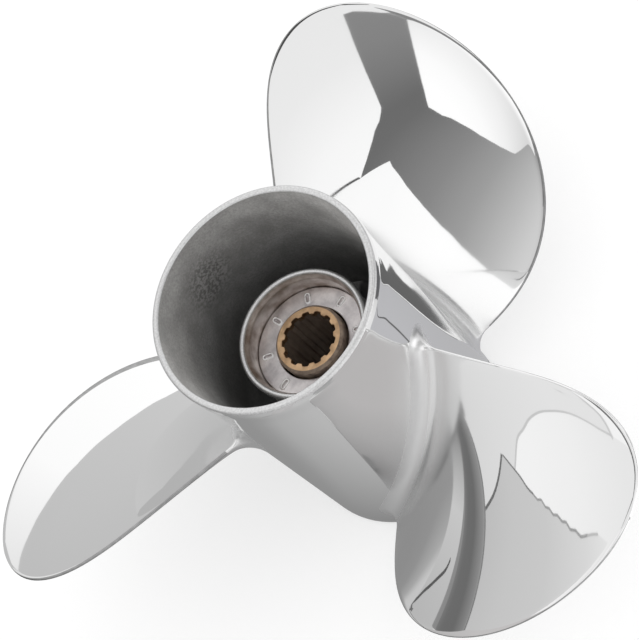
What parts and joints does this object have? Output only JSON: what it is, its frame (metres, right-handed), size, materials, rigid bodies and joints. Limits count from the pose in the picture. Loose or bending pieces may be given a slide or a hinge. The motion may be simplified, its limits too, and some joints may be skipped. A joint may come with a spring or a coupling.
{
  "type": "ship propeller",
  "caption": "Polished stainless steel boat propeller for an outboard motor: raked blades on a flared exhaust barrel, with a splined bronze drive hub in rubber.",
  "frame": {"origin": "on the shaft axis, in the plane of the barrel's engine-side rim, on which it stands", "axes": "+Z along the shaft axis towards the aft end, the end that the picture shows; the first blade lies round +X"},
  "size_m": [0.3122, 0.2956, 0.154],
  "materials": {
    "polished_stainless": "mirror polished",
    "machined_stainless": "turned",
    "cast_stainless": "as cast",
    "plate_steel": "plated",
    "black_rubber": "matte",
    "bronze": "machined"
  },
  "bodies": {
    "root": {"barrel": "polished_stainless", "blade_1": "polished_stainless", "blade_2": "polished_stainless", "blade_3": "polished_stainless", "inner_hub": "machined_stainless", "rib_1": "cast_stainless", "rib_2": "cast_stainless", "rib_3": "cast_stainless", "bushing_end_plate": "plate_steel", "rubber_bushing": "black_rubber", "splined_sleeve": "bronze"}
  },
  "joints": []
}
